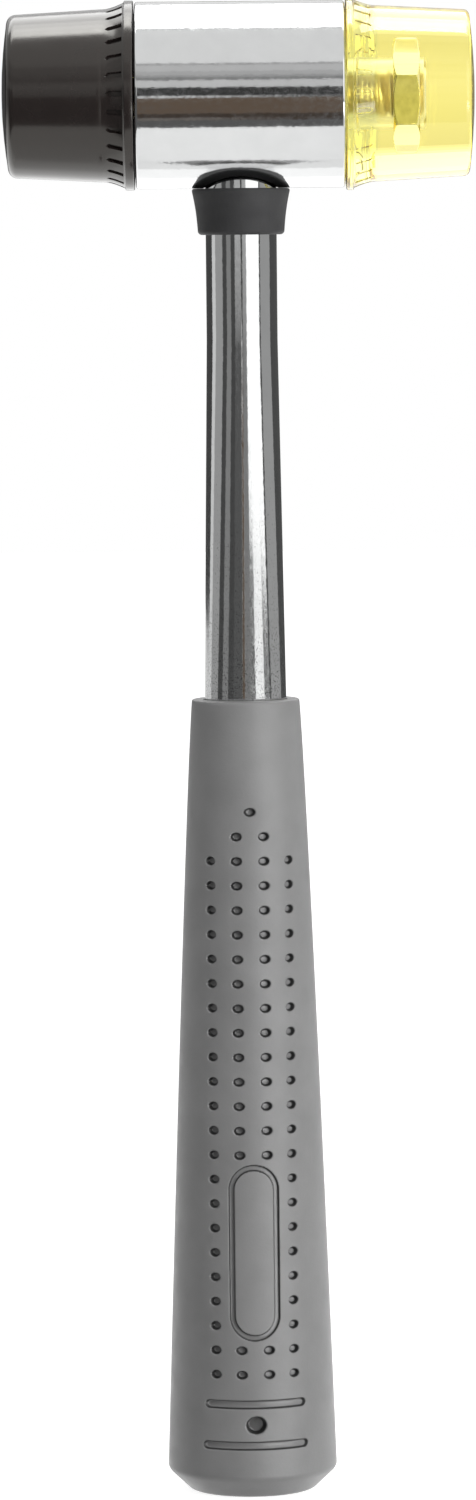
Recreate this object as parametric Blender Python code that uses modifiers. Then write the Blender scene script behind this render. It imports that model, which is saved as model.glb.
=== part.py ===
"""A double-faced soft-tip mallet: steel head, two screw-on tips, tubular handle and moulded grip.

Units are metres. +Z runs up the handle, +X along the head towards the yellow tip, and the
front of the grip faces -Y. The origin is the middle of the flat butt.
"""

import math

import bmesh
import bpy
from mathutils import Matrix, Vector

# Gap left between pieces that touch
CLEARANCE = 0.0003

# Head
HEAD_RADIUS = 0.0200
HEAD_LENGTH = 0.0450
HEAD_EDGE = 0.0006
EYE_ROOF = 0.0090

# Threaded joint between the head and each tip
STUD_RADIUS = 0.0049
STUD_CHAMFER = 0.0008
STUD_END_GAP = 0.0005
STUD_HOLE_WALL = 0.0018
STUD_PAST_NUT = 0.0009
NUT_ACROSS_FLATS = 0.0148
NUT_THICKNESS = 0.0054
NUT_CHAMFER_ANGLE = math.radians(30)
NUT_DISTANCE = 0.0102
NUT_TURN = math.radians(-20)
BORE_END_GAP = 0.0006

# Tips: lengths run outwards from the head's end face
TIP_TAPER = 0.0010
FLARE_DROP = 0.0014
FLARE_END = 0.0071
BAND_STEP = 0.0004
FLUTE_COUNT = 30
FLUTE_LENGTH = 0.0034
FLUTE_WIDTH = 0.0013
FLUTE_SETBACK = 0.0003
BLACK_LENGTH = 0.0275
BLACK_FLANGE_PROUD = 0.0003
BLACK_FLANGE_WIDTH = 0.00225
BLACK_FLUTE_DEPTH = 0.00075
BLACK_EDGE_RADIUS = 0.0020
BLACK_CROWN = 0.0012
YELLOW_LENGTH = 0.0268
YELLOW_FLANGE_PROUD = 0.0006
YELLOW_FLANGE_WIDTH = 0.0018
YELLOW_FLUTE_DEPTH = 0.0003
YELLOW_EDGE_RADIUS = 0.0012
YELLOW_CROWN = 0.0011

# Handle tube: round at the head, pressed to an oval of the same girth at the grip
TUBE_RADIUS = 0.00765
TUBE_WALL = 0.0015
TUBE_SHOWN = 0.1003
TUBE_ROUND_SHOWN = 0.0226
TUBE_WIDENING = 0.0012
TUBE_FOOT = 0.0120
PLUG_LENGTH = 0.0180
PLUG_CHAMFER = 0.0012
HANDLE_TURN = math.radians(3)

# Collar under the head
COLLAR_HEIGHT = 0.0097
COLLAR_WALL_TOP = 0.0026
COLLAR_WALL_BOTTOM = 0.0014
COLLAR_EDGE = 0.0009

# Grip
GRIP_LENGTH = 0.1733
GRIP_TOP_WALL = 0.0025
GRIP_BUTT_HALF_WIDTH = 0.01845
GRIP_DEPTH_RATIO = 0.90
GRIP_TAPER_POWER = 0.85
GRIP_TOP_EDGE = 0.0004
BUTT_CHAMFER_WIDTH = 0.0050
BUTT_CHAMFER_HEIGHT = 0.0048
BUTT_ROUND = 0.0008

# Pattern moulded into the grip: heights run up from the butt
DIMPLE_PITCH = 0.0053
DIMPLE_TOP_MARGIN = 0.0237
DIMPLE_FOOT_MARGIN = 0.0274
DIMPLE_INNER = 0.0030
DIMPLE_OUTER = 0.0085
DIMPLE_HALF_WIDTH = 0.0013
DIMPLE_HALF_HEIGHT = 0.0010
DIMPLE_DEPTH = 0.0012
PANEL_MIDDLE = 0.0542
PANEL_LENGTH = 0.0370
PANEL_WIDTH = 0.0099
GROOVE_WIDTH = 0.0014
GROOVE_DEPTH = 0.0006
BAR_MIDDLE = 0.0167
BAR_SPACING = 0.0090
BAR_LENGTH_UPPER = 0.0219
BAR_LENGTH_LOWER = 0.0229
BAR_WIDTH = 0.0020
BAR_DEPTH = 0.0009
DISC_HALF_WIDTH = 0.00225
DISC_HALF_HEIGHT = 0.00195
DISC_DEPTH = 0.0024

# Facets
HEAD_STEPS = 56
TIP_STEPS = 2 * FLUTE_COUNT
SMALL_STEPS = 24
GRIP_STEPS = 40
TUBE_STEPS = 32
DIMPLE_SIDES = 6
SHARP_ANGLE = math.radians(35)
MERGE_DISTANCE = 0.00001
CUT_PAST = 0.0010

# Places worked out from the sizes above
HEAD_BOTTOM = GRIP_LENGTH + TUBE_SHOWN + COLLAR_HEIGHT + CLEARANCE
HEAD_AXIS = HEAD_BOTTOM + HEAD_RADIUS
EYE_RADIUS = TUBE_RADIUS + CLEARANCE
EYE_TOP = HEAD_AXIS + HEAD_RADIUS - EYE_ROOF
STUD_HOLE_RADIUS = STUD_RADIUS + CLEARANCE
STUD_HOLE_DEPTH = HEAD_LENGTH / 2 - EYE_RADIUS - STUD_HOLE_WALL
STUD_TIP = NUT_DISTANCE + NUT_THICKNESS + STUD_PAST_NUT
TUBE_TOP = EYE_TOP - CLEARANCE
TUBE_OVAL_START = GRIP_LENGTH + TUBE_SHOWN - TUBE_ROUND_SHOWN
OVAL_HALF_WIDTH = TUBE_RADIUS + TUBE_WIDENING
GRIP_TOP_HALF_WIDTH = OVAL_HALF_WIDTH + CLEARANCE + GRIP_TOP_WALL


def clear_scene():
    for obj in list(bpy.data.objects):
        bpy.data.objects.remove(obj, do_unlink=True)


def new_collection(name, hidden=False):
    collection = bpy.data.collections.new(name)
    collection.hide_render = hidden
    bpy.context.scene.collection.children.link(collection)
    return collection


def new_material(name, colour, roughness, metallic=0.0, transmission=0.0):
    material = bpy.data.materials.new(name)
    material.use_nodes = True
    shader = material.node_tree.nodes["Principled BSDF"]
    shader.inputs["Base Color"].default_value = (*colour, 1.0)
    shader.inputs["Roughness"].default_value = roughness
    shader.inputs["Metallic"].default_value = metallic
    shader.inputs["Transmission Weight"].default_value = transmission
    material.diffuse_color = (*colour, 1.0)
    return material


def new_empty(name, location, rotation):
    empty = bpy.data.objects.new(name, None)
    empty.location = location
    empty.rotation_euler = rotation
    empty.empty_display_size = HEAD_RADIUS
    PARTS.objects.link(empty)
    return empty


def new_object(name, bm, parent=None, material=None):
    """A part if it has a material, or else a cutter."""
    mesh = bpy.data.meshes.new(name)
    bm.to_mesh(mesh)
    bm.free()
    mesh.shade_smooth()
    mesh.set_sharp_from_angle(angle=SHARP_ANGLE)
    obj = bpy.data.objects.new(name, mesh)
    obj.parent = parent
    if material:
        mesh.materials.append(material)
        PARTS.objects.link(obj)
    else:
        obj.hide_render = True
        obj.display_type = "WIRE"
        CUTTERS.objects.link(obj)
    return obj


def turned(name, profile, steps, parent=None, material=None, closed=False):
    """A profile of (radius, height) points spun round Z, its outer side listed from the top down."""
    bm = bmesh.new()
    points = [bm.verts.new((radius, 0, height)) for radius, height in profile]
    for start, end in zip(points, points[1:]):
        bm.edges.new((start, end))
    if closed:
        bm.edges.new((points[-1], points[0]))
    obj = new_object(name, bm, parent, material)
    screw = obj.modifiers.new("Turn", "SCREW")
    screw.steps = steps
    screw.render_steps = steps
    screw.use_merge_vertices = True
    screw.merge_threshold = MERGE_DISTANCE
    screw.use_smooth_shade = True
    return obj


def loft(name, rings, parent=None, material=None, capped=True, looped=False):
    """Rings of equal point counts, joined in order. A looped loft also joins its last ring to its first."""
    bm = bmesh.new()
    made = [[bm.verts.new(point) for point in ring] for ring in rings]
    pairs = list(zip(made, made[1:]))
    if looped:
        pairs.append((made[-1], made[0]))
    for lower, upper in pairs:
        for i in range(len(lower)):
            j = (i + 1) % len(lower)
            bm.faces.new((lower[i], lower[j], upper[j], upper[i]))
    if capped and not looped:
        bm.faces.new(reversed(made[0]))
        bm.faces.new(made[-1])
    bmesh.ops.recalc_face_normals(bm, faces=bm.faces)
    return new_object(name, bm, parent, material)


def cut(obj, cutter, operation="DIFFERENCE"):
    boolean = obj.modifiers.new(cutter.name, "BOOLEAN")
    boolean.operation = operation
    boolean.solver = "EXACT"
    boolean.object = cutter


def arc(middle, radius, start, end, count):
    """Points of an arc in the (radius, height) plane, with angles from the radius axis."""
    angles = [start + (end - start) * i / count for i in range(count + 1)]
    return [
        (middle[0] + radius * math.cos(angle), middle[1] + radius * math.sin(angle))
        for angle in angles
    ]


def ellipse_ring(half_width, half_depth, height, steps):
    angles = [2 * math.pi * (i + 0.5) / steps for i in range(steps)]
    return [
        (half_width * math.cos(angle), half_depth * math.sin(angle), height)
        for angle in angles
    ]


def build_head():
    end = HEAD_LENGTH / 2
    hole_end = end - STUD_HOLE_DEPTH
    profile = [
        (0, hole_end),
        (STUD_HOLE_RADIUS, hole_end),
        (STUD_HOLE_RADIUS, end),
        (HEAD_RADIUS - HEAD_EDGE, end),
        (HEAD_RADIUS, end - HEAD_EDGE),
        (HEAD_RADIUS, HEAD_EDGE - end),
        (HEAD_RADIUS - HEAD_EDGE, -end),
        (STUD_HOLE_RADIUS, -end),
        (STUD_HOLE_RADIUS, -hole_end),
        (0, -hole_end),
    ]
    head = turned("head_body", profile, HEAD_STEPS, material=CHROME)
    head.location = (0, 0, HEAD_AXIS)
    head.rotation_euler = (0, math.pi / 2, 0)
    eye_foot = HEAD_BOTTOM - CUT_PAST
    eye_profile = [(0, EYE_TOP), (EYE_RADIUS, EYE_TOP), (EYE_RADIUS, eye_foot), (0, eye_foot)]
    cut(head, turned("eye_cutter", eye_profile, HEAD_STEPS))


def build_stud(name, axis):
    inner = CLEARANCE + STUD_END_GAP - STUD_HOLE_DEPTH
    profile = [
        (0, STUD_TIP),
        (STUD_RADIUS - STUD_CHAMFER, STUD_TIP),
        (STUD_RADIUS, STUD_TIP - STUD_CHAMFER),
        (STUD_RADIUS, inner + STUD_CHAMFER),
        (STUD_RADIUS - STUD_CHAMFER, inner),
        (0, inner),
    ]
    turned(name, profile, SMALL_STEPS, axis, ZINC)


def hex_prism(name, axis, grow):
    """A hexagonal block the size of the nut, larger by grow on every face."""
    thickness = NUT_THICKNESS + 2 * grow
    corner_radius = (NUT_ACROSS_FLATS / 2 + grow) / math.cos(math.pi / 6)
    middle = NUT_DISTANCE + NUT_THICKNESS / 2
    bm = bmesh.new()
    bmesh.ops.create_cone(
        bm,
        cap_ends=True,
        segments=6,
        radius1=corner_radius,
        radius2=corner_radius,
        depth=thickness,
        matrix=Matrix.Translation((0, 0, middle)) @ Matrix.Rotation(NUT_TURN, 4, "Z"),
    )
    return new_object(name, bm, axis)


def build_nut(name, axis):
    flat = NUT_ACROSS_FLATS / 2
    corner = flat / math.cos(math.pi / 6) + CUT_PAST
    chamfer = (corner - flat) * math.tan(NUT_CHAMFER_ANGLE)
    low = NUT_DISTANCE
    high = NUT_DISTANCE + NUT_THICKNESS
    bore = STUD_RADIUS + CLEARANCE
    profile = [
        (bore, high),
        (flat, high),
        (corner, high - chamfer),
        (corner, low + chamfer),
        (flat, low),
        (bore, low),
    ]
    nut = turned(name, profile, SMALL_STEPS, axis, ZINC, closed=True)
    cut(nut, hex_prism(name + "_flats", axis, grow=0), "INTERSECT")


def flare_radius(distance, flange_width, band_radius):
    """Radius of the concave flare that runs from the flange down to the tip's body."""
    share = min(1.0, (distance - flange_width) / (FLARE_END - flange_width))
    return band_radius - FLARE_DROP * math.sin(share * math.pi / 2)


def flute_cutter(name, axis, flange_width, band_radius, depth):
    """Blind flutes that follow the flare: square at the flange, pointed at the other end."""
    start = flange_width + FLUTE_SETBACK
    half_width = FLUTE_WIDTH / 2
    end = start + FLUTE_LENGTH
    outline = [
        (-half_width, start),
        (half_width, start),
        (half_width, end - FLUTE_WIDTH),
        (0, end),
        (-half_width, end - FLUTE_WIDTH),
    ]
    floor = [flare_radius(z, flange_width, band_radius) - depth for _, z in outline]
    rim = band_radius + CUT_PAST
    bm = bmesh.new()
    for i in range(FLUTE_COUNT):
        turn = Matrix.Rotation(2 * math.pi * (i + 0.5) / FLUTE_COUNT, 4, "Z")
        inner = [bm.verts.new(turn @ Vector((radius, x, z))) for radius, (x, z) in zip(floor, outline)]
        outer = [bm.verts.new(turn @ Vector((rim, x, z))) for x, z in outline]
        bm.faces.new((inner[4], inner[2], inner[1], inner[0]))
        bm.faces.new((inner[4], inner[3], inner[2]))
        bm.faces.new(outer)
        for j in range(len(outline)):
            k = (j + 1) % len(outline)
            bm.faces.new((inner[j], inner[k], outer[k], outer[j]))
    bmesh.ops.recalc_face_normals(bm, faces=bm.faces)
    return new_object(name, bm, axis)


def build_tip(
    name, axis, material, length, flange_proud, flange_width, flute_depth, edge_radius, crown
):
    flange_radius = HEAD_RADIUS + flange_proud
    band_radius = flange_radius - BAND_STEP
    body_radius = band_radius - FLARE_DROP
    face_radius = body_radius - TIP_TAPER
    bore = STUD_RADIUS + CLEARANCE
    bore_end = STUD_TIP + BORE_END_GAP
    edge_middle = (face_radius - edge_radius, length - edge_radius)
    crown_rim = face_radius - edge_radius
    crown_points = 2
    profile = []
    for i in range(crown_points):
        radius = crown_rim * i / crown_points
        profile.append((radius, length + crown * (1 - (radius / crown_rim) ** 2)))
    profile += arc(edge_middle, edge_radius, math.pi / 2, 0, 2)
    flare_points = 2
    for i in range(flare_points + 1):
        distance = FLARE_END + (flange_width - FLARE_END) * i / flare_points
        profile.append((flare_radius(distance, flange_width, band_radius), distance))
    profile += [
        (flange_radius, flange_width),
        (flange_radius, CLEARANCE),
        (bore, CLEARANCE),
        (bore, bore_end),
        (0, bore_end),
    ]
    tip = turned(name, profile, TIP_STEPS, axis, material)
    cut(tip, hex_prism(name + "_nut_pocket", axis, grow=CLEARANCE))
    cut(tip, flute_cutter(name + "_flutes", axis, flange_width, band_radius, flute_depth))


def tube_half_width(height):
    """Half the tube's width along the head: round down to the oval's start, then wider to the grip."""
    run = TUBE_OVAL_START - GRIP_LENGTH
    share = min(1.0, max(0.0, (TUBE_OVAL_START - height) / run))
    return TUBE_RADIUS + TUBE_WIDENING * share


def tube_ring(height, grow=0.0):
    """The girth stays that of the round tube, so the depth shrinks as the width grows."""
    half_width = tube_half_width(height)
    half_depth = math.sqrt(2 * TUBE_RADIUS**2 - half_width**2)
    return ellipse_ring(half_width + grow, half_depth + grow, height, TUBE_STEPS)


def build_tube(axis):
    oval_rings = 3
    heights = [TUBE_FOOT]
    for i in range(oval_rings + 1):
        heights.append(GRIP_LENGTH + (TUBE_OVAL_START - GRIP_LENGTH) * i / oval_rings)
    heights.append(TUBE_TOP)
    outside = [tube_ring(height) for height in heights]
    inside = [tube_ring(height, grow=-TUBE_WALL) for height in reversed(heights)]
    loft("handle_tube", outside + inside, axis, CHROME, looped=True)


def build_plug(axis):
    radius = TUBE_RADIUS - TUBE_WALL - CLEARANCE
    foot = TUBE_TOP - PLUG_LENGTH
    profile = [
        (0, TUBE_TOP),
        (radius, TUBE_TOP),
        (radius, foot + PLUG_CHAMFER),
        (radius - PLUG_CHAMFER, foot),
        (0, foot),
    ]
    turned("tube_plug", profile, SMALL_STEPS, axis, ZINC)


def build_collar(axis):
    bore = TUBE_RADIUS + CLEARANCE
    top = HEAD_BOTTOM - CLEARANCE
    bottom = top - COLLAR_HEIGHT
    edge_middle = (bore + COLLAR_WALL_BOTTOM - COLLAR_EDGE, bottom + COLLAR_EDGE)
    profile = [(bore, top), (bore + COLLAR_WALL_TOP, top)]
    profile += arc(edge_middle, COLLAR_EDGE, 0, -math.pi / 2, 2)
    profile.append((bore, bottom))
    turned("neck_collar", profile, TUBE_STEPS, axis, BLACK_RUBBER, closed=True)


def grip_half_width(height):
    share = (GRIP_LENGTH - height) / (GRIP_LENGTH - BUTT_CHAMFER_HEIGHT)
    share = min(1.0, max(0.0, share))
    return GRIP_TOP_HALF_WIDTH + (GRIP_BUTT_HALF_WIDTH - GRIP_TOP_HALF_WIDTH) * share**GRIP_TAPER_POWER


def grip_ring(half_width, height):
    """An oval ring, whose depth is less than its width by the same amount all the way down a chamfer."""
    inset = grip_half_width(height) - half_width
    half_depth = grip_half_width(height) * GRIP_DEPTH_RATIO - inset
    return ellipse_ring(half_width, half_depth, height, GRIP_STEPS)


def build_grip(axis):
    butt = GRIP_BUTT_HALF_WIDTH
    flat = butt - BUTT_CHAMFER_WIDTH
    slope = BUTT_CHAMFER_HEIGHT / BUTT_CHAMFER_WIDTH
    rings = [
        grip_ring(flat - BUTT_ROUND, 0),
        grip_ring(flat + BUTT_ROUND, BUTT_ROUND * slope),
        grip_ring(butt - BUTT_ROUND, BUTT_CHAMFER_HEIGHT - BUTT_ROUND * slope),
    ]
    side_start = BUTT_CHAMFER_HEIGHT + BUTT_ROUND
    side_end = GRIP_LENGTH - GRIP_TOP_EDGE
    side_rings = 6
    for i in range(side_rings + 1):
        height = side_start + (side_end - side_start) * i / side_rings
        rings.append(grip_ring(grip_half_width(height), height))
    rings.append(grip_ring(GRIP_TOP_HALF_WIDTH - GRIP_TOP_EDGE, GRIP_LENGTH))
    grip = loft("grip", rings, axis, GREY_RUBBER)
    cavity = [tube_ring(height, CLEARANCE) for height in (TUBE_FOOT - CLEARANCE, GRIP_LENGTH + CUT_PAST)]
    cut(grip, loft("grip_cavity", cavity, axis))
    cut(grip, dimple_cutter(axis))
    cut(grip, groove_cutter("panel_groove", panel_path(), GROOVE_WIDTH, GROOVE_DEPTH, axis, closed=True))
    for side, face in ((-1, "front"), (1, "back")):
        for level, length in ((0.5, BAR_LENGTH_UPPER), (-0.5, BAR_LENGTH_LOWER)):
            path = bar_path(length, BAR_MIDDLE + level * BAR_SPACING)
            name = f"{face}_bar_{'upper' if level > 0 else 'lower'}"
            cut(grip, groove_cutter(name, path, BAR_WIDTH, BAR_DEPTH, axis, side=side))


def surface_frame(x, height, side):
    """A point on the grip, with its across, upward and outward directions."""
    small = MERGE_DISTANCE
    half_width = grip_half_width(height)
    slope = (grip_half_width(height + small) - grip_half_width(height - small)) / (2 * small)
    half_depth = half_width * GRIP_DEPTH_RATIO
    y = side * half_depth * math.sqrt(1 - (x / half_width) ** 2)
    outward = Vector((x / half_width**2, y / half_depth**2, -slope / half_width)).normalized()
    across = Vector((0, 0, 1)).cross(outward).normalized()
    return Vector((x, y, height)), across, outward.cross(across), outward


def dimple_places():
    """(x, height, side) of every dimple: four columns that start in a point, leaving room for the panel."""
    rows = int((GRIP_LENGTH - DIMPLE_TOP_MARGIN - DIMPLE_FOOT_MARGIN) / DIMPLE_PITCH) + 1
    panel_reach = PANEL_LENGTH / 2 + GROOVE_WIDTH / 2 + DIMPLE_HALF_HEIGHT
    inner = [-DIMPLE_INNER, DIMPLE_INNER]
    outer = [-DIMPLE_OUTER, DIMPLE_OUTER]
    places = []
    for side in (-1, 1):
        for row in range(rows):
            height = GRIP_LENGTH - DIMPLE_TOP_MARGIN - row * DIMPLE_PITCH
            beside_panel = side < 0 and abs(height - PANEL_MIDDLE) < panel_reach
            if row == 0:
                columns = [0.0]
            elif row == 1:
                columns = inner
            elif beside_panel:
                columns = outer
            else:
                columns = inner + outer
            places += [(x, height, side) for x in columns]
    return places


def add_bowl(bm, x, height, side, half_width, half_height, depth):
    place, across, upward, outward = surface_frame(x, height, side)
    frame = Matrix((across * half_width, upward * half_height, outward * depth)).transposed().to_4x4()
    frame.translation = place
    bmesh.ops.create_uvsphere(bm, u_segments=DIMPLE_SIDES, v_segments=4, radius=1, matrix=frame)


def dimple_cutter(axis):
    bm = bmesh.new()
    for x, height, side in dimple_places():
        add_bowl(bm, x, height, side, DIMPLE_HALF_WIDTH, DIMPLE_HALF_HEIGHT, DIMPLE_DEPTH)
    for side in (-1, 1):
        add_bowl(bm, 0, BAR_MIDDLE, side, DISC_HALF_WIDTH, DISC_HALF_HEIGHT, DISC_DEPTH)
    return new_object("dimple_cutter", bm, axis)


def panel_path():
    """The middle of the panel's outline, as (x, height, width share): straight sides and round ends."""
    radius = PANEL_WIDTH / 2
    reach = PANEL_LENGTH / 2 - radius
    points = arc((0, PANEL_MIDDLE + reach), radius, 0, math.pi, 8)
    points += arc((0, PANEL_MIDDLE - reach), radius, math.pi, 2 * math.pi, 8)
    return [(x, height, 1.0) for x, height in points]


def bar_path(length, height):
    """A bar across the grip, as (x, height, width share), narrowing at its round ends."""
    end_radius = BAR_WIDTH / 2
    straight = length / 2 - end_radius
    points = [(straight * i / 4, height, 1.0) for i in range(-4, 5)]
    turns = [math.radians(40), math.radians(75)]
    right = [(straight + end_radius * math.sin(turn), height, math.cos(turn)) for turn in turns]
    left = [(-x, height, share) for x, height, share in reversed(right)]
    return left + points + right


def groove_cutter(name, path, width, depth, axis, side=-1, closed=False):
    """A shallow groove that follows a path on the grip's surface."""
    count = len(path)
    rings = []
    for i, (x, height, share) in enumerate(path):
        place, _, _, outward = surface_frame(x, height, side)
        before = path[(i - 1) % count if closed else max(i - 1, 0)]
        after = path[(i + 1) % count if closed else min(i + 1, count - 1)]
        along = surface_frame(*after[:2], side)[0] - surface_frame(*before[:2], side)[0]
        across = outward.cross(along).normalized() * (width / 2 * share)
        floor = -outward * depth
        lip = outward * depth
        rings.append([place + across + lip, place + across + floor, place - across + floor, place - across + lip])
    return loft(name, rings, axis, looped=closed)


def build_mallet():
    build_head()
    handle = new_empty("handle_axis", (0, 0, 0), (0, 0, HANDLE_TURN))
    build_tube(handle)
    build_plug(handle)
    build_collar(handle)
    build_grip(handle)
    end = HEAD_LENGTH / 2
    black_axis = new_empty("black_tip_axis", (-end, 0, HEAD_AXIS), (0, -math.pi / 2, 0))
    yellow_axis = new_empty("yellow_tip_axis", (end, 0, HEAD_AXIS), (0, math.pi / 2, 0))
    for colour, axis in (("black", black_axis), ("yellow", yellow_axis)):
        build_stud(f"{colour}_tip_stud", axis)
        build_nut(f"{colour}_tip_nut", axis)
    build_tip(
        "black_tip", black_axis, BLACK_RUBBER, BLACK_LENGTH, BLACK_FLANGE_PROUD,
        BLACK_FLANGE_WIDTH, BLACK_FLUTE_DEPTH, BLACK_EDGE_RADIUS, BLACK_CROWN,
    )
    build_tip(
        "yellow_tip", yellow_axis, YELLOW_PLASTIC, YELLOW_LENGTH, YELLOW_FLANGE_PROUD,
        YELLOW_FLANGE_WIDTH, YELLOW_FLUTE_DEPTH, YELLOW_EDGE_RADIUS, YELLOW_CROWN,
    )


clear_scene()
PARTS = new_collection("soft_tip_mallet")
CUTTERS = new_collection("cutters", hidden=True)
CHROME = new_material("chrome", (0.55, 0.556, 0.554), 0.08, metallic=1.0)
ZINC = new_material("zinc_steel", (0.64, 0.60, 0.38), 0.32, metallic=1.0)
BLACK_RUBBER = new_material("black_rubber", (0.020, 0.019, 0.019), 0.42)
YELLOW_PLASTIC = new_material("clear_yellow_plastic", (0.92, 0.84, 0.12), 0.06, transmission=0.9)
GREY_RUBBER = new_material("grey_rubber", (0.20, 0.20, 0.203), 0.45)
build_mallet()
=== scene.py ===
"""Looks of the double-faced soft-tip mallet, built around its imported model.

Units are metres, in the part's own frame: +Z up the handle, +X along the head towards the
yellow tip, and the front of the grip faces -Y.
"""

import math

import bmesh
import bpy
import numpy as np
from mathutils import Matrix, Vector


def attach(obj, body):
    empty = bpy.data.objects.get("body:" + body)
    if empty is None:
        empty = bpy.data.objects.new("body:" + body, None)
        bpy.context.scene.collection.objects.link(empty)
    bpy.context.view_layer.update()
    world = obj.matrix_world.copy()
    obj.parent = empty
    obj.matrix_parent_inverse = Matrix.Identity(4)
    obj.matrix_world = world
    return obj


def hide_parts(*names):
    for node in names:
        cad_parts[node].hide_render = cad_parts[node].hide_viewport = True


MM = 0.001

# Sizes shared with the part's source
CLEARANCE = 0.3 * MM
HEAD_RADIUS = 20.0 * MM
HEAD_HALF = 22.5 * MM
HEAD_EDGE = 0.6 * MM
HEAD_BOTTOM = 283.6 * MM
HEAD_AXIS = HEAD_BOTTOM + HEAD_RADIUS
EYE_RADIUS = 7.95 * MM
EYE_TOP = 314.6 * MM
STUD_RADIUS = 4.9 * MM
STUD_HOLE_RADIUS = 5.2 * MM
STUD_HOLE_DEPTH = 12.75 * MM
STUD_INNER = -11.95 * MM
STUD_TIP = 16.5 * MM
STUD_CHAMFER = 0.8 * MM
THREAD_PITCH = 1.5 * MM
THREAD_DEPTH = 0.85 * MM
NUT_FLAT = 7.4 * MM
NUT_THICKNESS = 5.4 * MM
NUT_DISTANCE = 10.2 * MM
NUT_TURN = math.radians(-20)
NUT_CHAMFER = math.tan(math.radians(30))
BORE_END = 17.1 * MM
TIP_TAPER = 1.0 * MM
FLARE_DROP = 1.4 * MM
FLARE_END = 7.1 * MM
BAND_STEP = 0.4 * MM
FLUTE_COUNT = 30
FLUTE_LENGTH = 3.4 * MM
FLUTE_WIDTH = 1.3 * MM
FLUTE_SETBACK = 0.3 * MM
TUBE_RADIUS = 7.65 * MM
TUBE_WALL = 1.5 * MM
TUBE_FOOT = 12.0 * MM
TUBE_TOP = 314.3 * MM
TUBE_OVAL_START = 251.0 * MM
TUBE_WIDENING = 1.2 * MM
COLLAR_BOTTOM = HEAD_BOTTOM - CLEARANCE - 9.7 * MM
COLLAR_WALL_TOP = 2.6 * MM
COLLAR_WALL_BOTTOM = 1.4 * MM
COLLAR_EDGE = 0.9 * MM
HANDLE_TURN = math.radians(3)
GRIP_LENGTH = 173.3 * MM
GRIP_TOP_HALF = 11.65 * MM
GRIP_BUTT_HALF = 18.45 * MM
GRIP_DEPTH_RATIO = 0.90
GRIP_TAPER_POWER = 0.85
GRIP_TOP_EDGE = 0.4 * MM
BUTT_CHAMFER_WIDTH = 5.0 * MM
BUTT_CHAMFER_HEIGHT = 4.8 * MM
BUTT_ROUND = 0.8 * MM
DIMPLE_PITCH = 5.3 * MM
DIMPLE_TOP = GRIP_LENGTH - 23.7 * MM
DIMPLE_ROWS = 24
DIMPLE_INNER = 3.0 * MM
DIMPLE_OUTER = 8.5 * MM
DIMPLE_HALF_WIDTH = 1.3 * MM
DIMPLE_HALF_HEIGHT = 1.0 * MM
DIMPLE_DEPTH = 1.2 * MM
PANEL_MIDDLE = 54.2 * MM
PANEL_HALF_LENGTH = 18.5 * MM
PANEL_HALF_WIDTH = 4.95 * MM
GROOVE_HALF_WIDTH = 0.7 * MM
GROOVE_DEPTH = 0.6 * MM
BAR_HEIGHTS = (21.2 * MM, 12.2 * MM)
BAR_HALF_LENGTHS = (10.95 * MM, 11.45 * MM)
BAR_HALF_WIDTH = 1.0 * MM
BAR_DEPTH = 0.9 * MM
DISC_HEIGHT = 16.7 * MM
DISC_HALF_WIDTH = 2.25 * MM
DISC_HALF_HEIGHT = 1.95 * MM
DISC_DEPTH = 2.4 * MM

# Detail that only the looks have
COLLAR_TOP = HEAD_BOTTOM - 0.06 * MM
EYE_ROUND = 0.3 * MM
POCKET_GAP = 0.15 * MM
FLUTE_WALL = 0.18 * MM
RING_LINE = 0.03 * MM
MOULD_CORE_RADIUS = 6.2 * MM
AROUND = 12 * FLUTE_COUNT
PATTERN_REACH = 11.6 * MM
RECESS_EDGE = 1.04
FINE_STEP = 0.16 * MM
MEDIUM_STEP = 0.2 * MM
COARSE_STEP = 0.3 * MM
MERGE_DISTANCE = 1e-7

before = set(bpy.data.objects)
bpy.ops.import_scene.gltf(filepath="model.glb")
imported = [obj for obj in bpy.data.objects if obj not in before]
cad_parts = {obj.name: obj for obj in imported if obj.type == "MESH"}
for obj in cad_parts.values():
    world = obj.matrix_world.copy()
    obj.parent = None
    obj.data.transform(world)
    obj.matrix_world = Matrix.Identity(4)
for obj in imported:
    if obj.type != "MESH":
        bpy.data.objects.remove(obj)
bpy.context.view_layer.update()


# Mesh helpers
def smooth_step(low, high, value):
    share = np.clip((value - low) / (high - low), 0.0, 1.0)
    return share * share * (3.0 - 2.0 * share)


def skin(rows, start=None, end=None, looped=False):
    """Points and faces of a surface through rows of equal point counts, each a closed ring."""
    count = len(rows[0])
    points = np.concatenate(rows)
    here = np.arange(count)
    after = (here + 1) % count
    faces = []
    joins = list(zip(range(len(rows) - 1), range(1, len(rows))))
    if looped:
        joins.append((len(rows) - 1, 0))
    for low, high in joins:
        quads = np.stack(
            [low * count + here, low * count + after, high * count + after, high * count + here],
            axis=1,
        )
        faces += quads.tolist()
    for centre, row in ((start, 0), (end, len(rows) - 1)):
        if centre is not None:
            points = np.concatenate([points, [centre]])
            tip = len(points) - 1
            faces += [[row * count + i, row * count + j, tip] for i, j in zip(here, after)]
    return points, faces


def new_object(name, points, faces, sharp_degrees, recess=None):
    mesh = bpy.data.meshes.new(name)
    mesh.from_pydata([tuple(point) for point in points], [], faces)
    # recess is a per-point share that the grip's material turns into smoother roughness and painted shade.
    if recess is not None:
        mesh.attributes.new("recess", "FLOAT", "POINT").data.foreach_set("value", recess)
    bm = bmesh.new()
    bm.from_mesh(mesh)
    bmesh.ops.remove_doubles(bm, verts=bm.verts, dist=MERGE_DISTANCE)
    bmesh.ops.recalc_face_normals(bm, faces=bm.faces)
    bm.to_mesh(mesh)
    bm.free()
    mesh.shade_smooth()
    mesh.set_sharp_from_angle(angle=math.radians(sharp_degrees))
    obj = bpy.data.objects.new(name, mesh)
    bpy.context.scene.collection.objects.link(obj)
    return obj


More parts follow.
